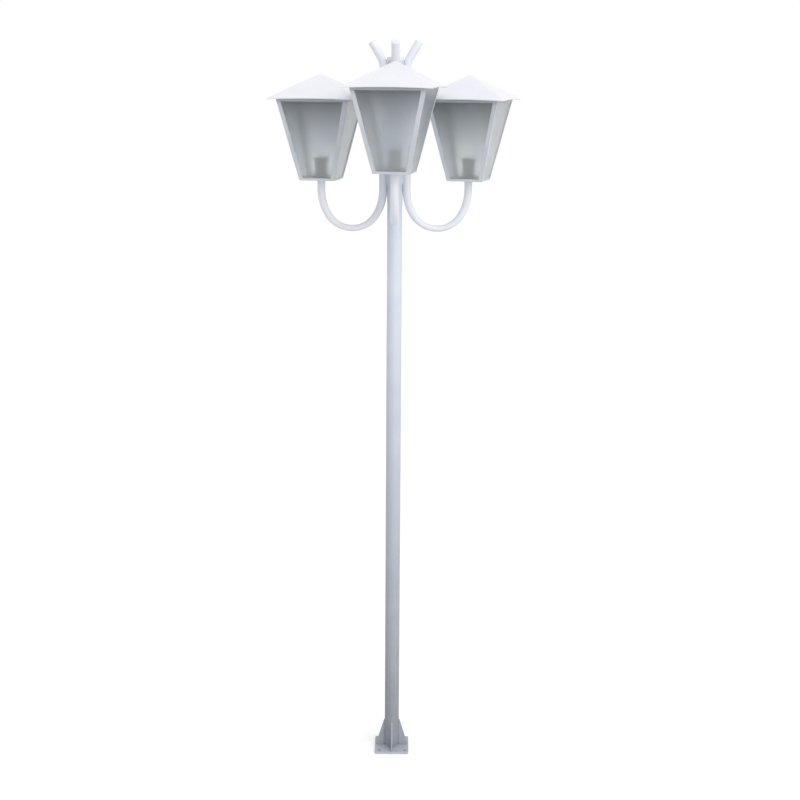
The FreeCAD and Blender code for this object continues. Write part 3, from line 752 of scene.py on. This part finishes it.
def make_foot_welds(finish):
    """Fillet welds at the foot: on arcs of a circle round the post between the gussets, and on
    straight lines up both sides of every gusset and along its base."""
    quarter = np.radians(np.linspace(FOOT_BEAD_START, FOOT_BEAD_STOP, 70))
    ring_radius = POST_RADIUS + WELD_RADIUS * WELD_PROUD
    level = PLATE_THICKNESS + WELD_RADIUS * WELD_PROUD
    beside = GUSSET_THICKNESS / 2 + WELD_RADIUS * FILLET_PROUD
    rise = np.linspace(PLATE_THICKNESS + FILLET_START,
                       PLATE_THICKNESS + GUSSET_HEIGHT - FILLET_TOP_STOP, 120)
    reach = np.linspace(POST_RADIUS + FILLET_START,
                        POST_RADIUS + GUSSET_REACH - FILLET_BASE_STOP, 60)
    upright, outward = np.array([0.0, 0.0, 1.0]), np.array([1.0, 0.0, 0.0])
    beads = []
    for heading in FACES.values():
        ring = np.stack([ring_radius * np.cos(quarter), ring_radius * np.sin(quarter),
                         level + 0 * quarter], 1)
        beads.append((turned_about_z(bead(ring, WELD_RADIUS, upright), heading), False))
        for way in (-beside, beside):
            side = np.sqrt(ring_radius**2 - way**2)
            climb = np.stack([side + 0 * rise, way + 0 * rise, rise], 1)
            base = np.stack([reach, way + 0 * reach, level + 0 * reach], 1)
            beads.append((turned_about_z(bead(climb, FILLET_RADIUS, outward), heading), False))
            beads.append((turned_about_z(bead(base, FILLET_RADIUS, upright), heading), False))
    put(closed_mesh("foot_welds", beads), "post", "post_paint", finish=finish)


# ---------------------------------------------------------------- post and foot
def make_foot():
    """The plate, its four gussets, whose paint is a lighter copy with less of the grey painted
    shade towards the ground than the post's, and the welds between them."""
    gusset_paint = enamel("white_enamel_on_gussets", "DCE6F4", gloss=0.38, ground_shade=0.72)
    softened("base_plate", "post", "base_paint", PLATE_EASE)
    for face in FACES:
        softened(f"gusset_{face}", "post", "post_paint", GUSSET_EASE, gusset_paint)
    make_foot_welds(gusset_paint)


def make_post_cap():
    """The pressed cap: a skirt round the post's end, a wide rounded shoulder and a flat crown,
    as one eased section turned about the post's axis."""
    inner = POST_RADIUS + FIT_GAP
    low, crown = POST_TOP - CAP_SKIRT, POST_TOP + CAP_CROWN
    section = [(inner, low), (CAP_RADIUS, low), (CAP_RADIUS, crown), (0.0, crown),
               (0.0, crown - CAP_SHEET), (inner - CAP_SHOULDER, crown - CAP_SHEET),
               (inner, POST_TOP + FIT_GAP)]
    eased = rounded(section, CAP_EASE, 8)
    eased[:, 0] = np.maximum(eased[:, 0], 0.0)
    put(closed_mesh("post_cap_pressed", [(lathe(eased), True)]), "post", "cap_paint", "post_cap")


# ---------------------------------------------------------------- lanterns
def in_lantern(grid, side, rise=0.0):
    """Brings a grid drawn about a lantern's own axis to its place on the end of its arm."""
    lantern = LANTERNS[side]
    centre = turned_about_z(np.array([ARM_REACH, 0.0, 0.0]), lantern["heading"])
    centre[2] = lantern["height"] + rise
    return turned_about_z(grid, lantern["turn"]) + centre


def eave_bow(half, t):
    """How far the sheet sags from the middle of a side towards its corners: by the squares of
    the half width and of t."""
    return -EAVE_BOW * (half / (ROOF_WIDTH / 2)) ** 2 * t**2


def make_roof(side):
    """The folded sheet roof: a low pyramid with soft hips, a lip turned down round its eaves,
    and under it the collar and the ledge that sit in the lantern's top ring. Each is a section
    carried round a square with rounded corners."""
    half, collar = ROOF_WIDTH / 2, COLLAR_WIDTH / 2
    outer = np.array([(half, -EAVE_LIP), (half, 0.0), (ROOF_APEX, ROOF_RISE), (0.0, ROOF_RISE)])
    inner = np.array([(0.0, ROOF_RISE - ROOF_SHEET), (ROOF_APEX, ROOF_RISE - ROOF_SHEET),
                      (half - ROOF_SHEET, -ROOF_SHEET / 2), (half - ROOF_SHEET, -EAVE_LIP)])
    slope = np.linspace(0, 1, 12)[1:-1, None]
    run_up = outer[1] + (outer[2] - outer[1]) * slope
    run_down = inner[1] + (inner[2] - inner[1]) * slope
    steps = 4
    fold = rounded([outer[0], outer[1], run_up[0]], EAVE_FOLD, steps)[steps:2 * steps]
    sheet = np.concatenate([outer[:1], fold, run_up, outer[2:], inner[:2], run_down, inner[2:]])
    under = (half - collar) * ROOF_RISE / (half - ROOF_APEX) - ROOF_SHEET
    band = np.array([(collar, -COLLAR_DROP), (collar, under), (collar - SHEET, under),
                     (collar - SHEET, -COLLAR_DROP)])
    root, rim = collar - SHEET / 2, collar + COLLAR_SEAT
    ledge = np.array([(root, SEAT_GAP), (rim, SEAT_GAP), (rim, SEAT_GAP + SHEET),
                      (root, SEAT_GAP + SHEET)])
    grids = [square_turned(sheet, HIP_RADIUS, eave_bow), square_turned(band, COLLAR_CORNER),
             square_turned(ledge, COLLAR_CORNER)]
    placed = [(in_lantern(grid, side, BODY_HEIGHT), True) for grid in grids]
    roof = put(closed_mesh(f"{side}_roof_sheet", placed), f"{side}_roof", "roof_paint",
               f"{side}_roof")
    even_normals(roof)


def make_frame(side):
    """The folded frame: tray, four corner bars and top ring, with their edges eased."""
    for part in ["bottom_tray", "top_ring"] + [f"bar_{corner}" for corner in CORNERS]:
        softened(f"{side}_{part}", "post", "lantern_paint", FRAME_EASE)


def make_lampholder(side):
    """The porcelain holder: foot, waist and collar in one eased profile with a bore from above,
    and a shallow groove under the collar, turned about the lantern's axis."""
    profile = rounded([
        (HOLDER_HOLE, 0), (HOLDER_FOOT, 0), (HOLDER_FOOT, HOLDER_FOOT_HEIGHT),
        (HOLDER_WAIST + HOLDER_TAPER, HOLDER_WAIST_LOW), (HOLDER_WAIST, HOLDER_WAIST_HIGH),
        (HOLDER_WAIST + HOLDER_FLARE, HOLDER_COLLAR_LOW - HOLDER_FLARE_DROP),
        (HOLDER_COLLAR, HOLDER_COLLAR_LOW),
        (HOLDER_COLLAR, HOLDER_HEIGHT), (HOLDER_BORE, HOLDER_HEIGHT),
        (HOLDER_BORE, HOLDER_FLOOR), (HOLDER_HOLE, HOLDER_FLOOR)], HOLDER_EASE, 6)
    holder = in_lantern(lathe(profile, 72), side, HOLDER_SEAT)
    put(closed_mesh(f"{side}_porcelain_holder", [(holder, True)]), "post", "porcelain",
        f"{side}_lampholder")


def thread(height, angle):
    """The screw sleeve's thread: a cosine wave in the radius that climbs one pitch a turn."""
    return THREAD_DEPTH * np.cos(2 * np.pi * height / THREAD_PITCH - angle)


def make_holder_contacts(side):
    """The rolled screw sleeve, whose wall is a thread of round crests, and the centre contact,
    a low eased button. Both are profiles turned about the lantern's axis."""
    up = np.linspace(SLEEVE_LOW, SLEEVE_HIGH, 90)
    wall = np.concatenate([np.stack([SLEEVE_OUTSIDE + 0 * up, up], 1),
                           np.stack([SLEEVE_INSIDE + 0 * up, up], 1)[::-1]])
    top = HOLDER_FLOOR + CONTACT_HEIGHT
    button = rounded([(0.0, HOLDER_FLOOR), (CONTACT_RADIUS, HOLDER_FLOOR),
                      (CONTACT_RADIUS, HOLDER_FLOOR + CONTACT_RIM), (CONTACT_TIP, top),
                      (0.0, top)], CONTACT_EASE, 5)
    button[:, 0] = np.maximum(button[:, 0], 0.0)
    grids = [(in_lantern(lathe(wall, 48, thread), side, HOLDER_SEAT), True),
             (in_lantern(lathe(button, 32), side, HOLDER_SEAT), True)]
    put(closed_mesh(f"{side}_screw_shell", grids), "post", "brass", f"{side}_holder_contacts")


# ---------------------------------------------------------------- studio
# The focus is in pixels of a picture PICTURE_WIDTH wide.
CAMERA_PLACE = (20.7, -4248.0, 2277.8)
CAMERA_PITCH = 13.77
CAMERA_ROLL = 0.40
CAMERA_FOCUS = 1344.7
CAMERA_RANGE = 200000.0
SENSOR_WIDTH = 36.0
PICTURE_WIDTH = 800.0
SKY_LEVEL = 0.66
SUN_LEVEL = 1.38
SUN_HEIGHT = 32.0
SUN_SIDE = 36.0
SUN_SPREAD = 70.0
FLOOR_SIZE = 60000.0
FLOOR_GLOW = 0.40
FLOOR_GRAIN = 30.0


def make_camera():
    """The camera: it looks along +Y, a little down, with its right side a little raised."""
    data = bpy.data.cameras.new("camera")
    data.sensor_width = SENSOR_WIDTH
    data.sensor_fit = "HORIZONTAL"
    data.lens = CAMERA_FOCUS / PICTURE_WIDTH * SENSOR_WIDTH
    data.clip_end = CAMERA_RANGE * MM
    camera = bpy.data.objects.new("camera", data)
    bpy.context.scene.collection.objects.link(camera)
    pitch, roll = math.radians(CAMERA_PITCH), math.radians(CAMERA_ROLL)
    forward = np.array([0, math.cos(pitch), -math.sin(pitch)])
    level, raised = np.array([1.0, 0, 0]), np.array([0, math.sin(pitch), math.cos(pitch)])
    turn = np.eye(4)
    turn[:3, 0] = level * math.cos(roll) + raised * math.sin(roll)
    turn[:3, 1] = raised * math.cos(roll) - level * math.sin(roll)
    turn[:3, 2] = -forward
    turn[:3, 3] = np.array(CAMERA_PLACE) * MM
    camera.matrix_world = Matrix(turn.tolist())
    bpy.context.scene.camera = camera


def make_light():
    """One large soft lamp on the front right, SUN_HEIGHT over the horizon."""
    data = bpy.data.lights.new("soft_lamp", "SUN")
    data.energy = SUN_LEVEL
    data.angle = math.radians(SUN_SPREAD)
    lamp = bpy.data.objects.new("soft_lamp", data)
    bpy.context.scene.collection.objects.link(lamp)
    lamp.rotation_euler = (math.radians(90 - SUN_HEIGHT), 0, math.radians(SUN_SIDE))


def seen_directly(tree):
    """1 for the camera's own rays, and for those that metal mirrors or glass lets through, as
    long as they haven't met a dull surface on their way."""
    path = add_node(tree, "LightPath", {})
    either = add_node(tree, "Math", {0: path["Is Camera Ray"], 1: path["Is Glossy Ray"]},
                      operation="MAXIMUM")[0]
    passed = add_node(tree, "Math", {0: either, 1: path["Is Transmission Ray"]},
                      operation="MAXIMUM")[0]
    clear = add_node(tree, "MapRange", {"Value": path["Diffuse Depth"], "To Min": 1.0,
                                        "To Max": 0.0})["Result"]
    return add_node(tree, "Math", {0: passed, 1: clear}, operation="MULTIPLY")[0]


def make_world():
    """An even white room: plain white where it is looked at, and a dimmer light on the object."""
    world = bpy.data.worlds.new("white_room")
    world.use_nodes = True
    tree = world.node_tree
    background = next(n for n in tree.nodes if n.type == "BACKGROUND")
    strength = add_node(tree, "MapRange", {"Value": seen_directly(tree), "To Min": SKY_LEVEL,
                                           "To Max": 1.0})["Result"]
    fill(tree, background, {"Color": (1, 1, 1, 1), "Strength": strength})
    bpy.context.scene.world = world


def make_floor():
    """A plain pale floor. Where it is looked at it is lifted to white, and the shadow of the
    lamp post stays a little darker than that."""
    mesh = bpy.data.meshes.new("floor")
    half = FLOOR_SIZE / 2 * MM
    corners = [(-half, -half, 0), (half, -half, 0), (half, half, 0), (-half, half, 0)]
    mesh.from_pydata(corners, [], [(0, 1, 2, 3)])
    floor = bpy.data.objects.new("floor", mesh)
    bpy.context.scene.collection.objects.link(floor)
    material, tree, shader, place = new_material("pale_floor")
    cloud = add_node(tree, "TexNoise", {"Vector": place, "Scale": per_grain(FLOOR_GRAIN),
                                        "Detail": 2.0})["Fac"]
    shade = add_node(tree, "MapRange", {"Value": cloud, "From Min": 0.3,
                                        "From Max": 0.7})["Result"]
    colour = add_node(tree, "Mix", {0: shade, MIX_A: linear("E0E0E0"),
                                    MIX_B: linear("DCDCDC")}, data_type="RGBA")[MIX_RESULT]
    glow = add_node(tree, "MapRange", {"Value": seen_directly(tree), "To Min": 0.0,
                                       "To Max": FLOOR_GLOW})["Result"]
    fill(tree, shader, {"Base Color": colour, "Roughness": 0.9,
                        "Emission Color": (1, 1, 1, 1), "Emission Strength": glow})
    mesh.materials.append(material)


# ---------------------------------------------------------------- build
make_camera()
make_light()
make_world()
make_floor()
finish_cad_nodes()
make_foot()
make_post_cap()
softened("lock_nuts", "post", "zinc", NUT_EASE)
for side in LANTERNS:
    make_arm(side)
    make_arm_welds(side)
    make_arm_plug(side)
    make_frame(side)
    make_roof(side)
    make_lampholder(side)
    make_holder_contacts(side)

bpy.context.scene.view_settings.view_transform = "Standard"
